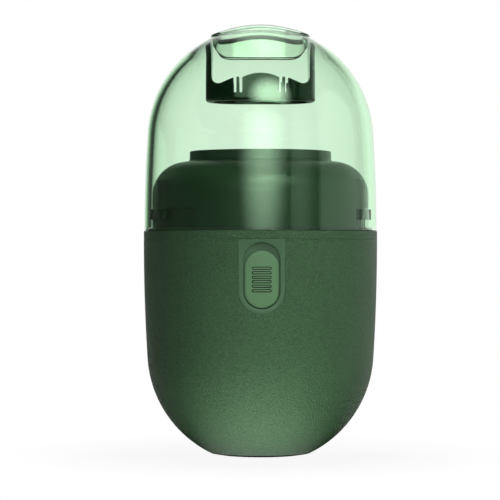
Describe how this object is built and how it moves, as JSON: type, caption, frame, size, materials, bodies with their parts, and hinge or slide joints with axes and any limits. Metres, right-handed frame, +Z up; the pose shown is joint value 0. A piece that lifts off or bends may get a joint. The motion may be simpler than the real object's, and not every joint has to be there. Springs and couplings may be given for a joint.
{
  "type": "desktop mini vacuum cleaner",
  "caption": "Capsule-shaped desktop vacuum cleaner: clear green dust cup with an oblong inlet on a grained dark green motor housing with a slide switch.",
  "frame": {"origin": "centre of the base, on the surface it stands on", "axes": "+Z up along the capsule, -Y towards the power slider, +X to the right seen from the front"},
  "size_m": [0.062, 0.062, 0.1137],
  "materials": {
    "grained_green": "fine spark-eroded grain, satin",
    "smooth_green": "smooth satin",
    "satin_green": "smooth satin, dark",
    "gloss_green": "glossy, dark",
    "clear_green": "clear tinted polycarbonate, polished",
    "silicone": "soft matte",
    "pad_rubber": "soft matte",
    "dark_plastic": "moulded matte",
    "fan_plastic": "moulded satin",
    "filter_paper": "pleated fibre paper",
    "steel_mesh": "perforated",
    "steel": "plated",
    "bronze": "machined",
    "ferrite": "sintered",
    "circuit_board": "solder mask",
    "cell_wrap": "shrink wrap",
    "clear_plastic": "clear",
    "foam": "open-cell foam"
  },
  "bodies": {
    "housing": {"outer_shell": "grained_green", "collar_ring": "grained_green", "switch_panel": "smooth_green", "filter_hood": "satin_green", "motor_chassis": "dark_plastic", "fan_cover": "dark_plastic", "base_pad": "pad_rubber", "base_screw": "steel", "deck_screws": "steel", "motor_screws": "steel", "slide_switch": "steel", "main_pcb": "circuit_board", "motor_can": "steel", "motor_bushes": "bronze", "motor_end_cap": "dark_plastic", "motor_terminals": "bronze", "motor_magnets": "ferrite", "battery_cell": "cell_wrap", "battery_holder": "dark_plastic", "battery_tabs": "steel", "charge_pcb": "circuit_board", "usb_c_socket": "steel", "usb_c_tongue": "dark_plastic", "charge_led": "clear_plastic", "light_pipe": "clear_plastic", "exhaust_foam": "foam"},
    "power_slider": {"slider_button": "smooth_green", "slider_carrier": "dark_plastic", "switch_actuator": "dark_plastic"},
    "fan_rotor": {"motor_shaft": "steel", "impeller": "fan_plastic", "motor_armature": "ferrite", "motor_commutator": "bronze"},
    "seal_ring": {"cup_seal": "silicone"},
    "cup": {"dust_cup": "clear_green", "inlet_sleeve": "gloss_green"},
    "filter_cartridge": {"filter_frame": "dark_plastic", "filter_seal": "silicone", "filter_media": "filter_paper", "filter_mesh": "steel_mesh"}
  },
  "joints": [
    {"name": "power_switch_slide", "type": "slide", "parent": "housing", "child": "power_slider", "axis": [0, 0, 1], "range_m": [0, 0.0021]},
    {"name": "fan_spin", "type": "hinge", "parent": "housing", "child": "fan_rotor", "pos_m": [0, 0, 0.05], "axis": [0, 0, 1], "continuous": true},
    {"name": "dust_cup_lift", "type": "slide", "parent": "housing", "child": "seal_ring", "axis": [0, 0, 1], "range_m": [0, 0.03]},
    {"name": "dust_cup_twist", "type": "hinge", "parent": "seal_ring", "child": "cup", "pos_m": [0, 0, 0.06], "axis": [0, 0, 1], "range_deg": [0, 21]},
    {"name": "filter_lift", "type": "slide", "parent": "housing", "child": "filter_cartridge", "axis": [0, 0, 1], "range_m": [0, 0.012]}
  ]
}
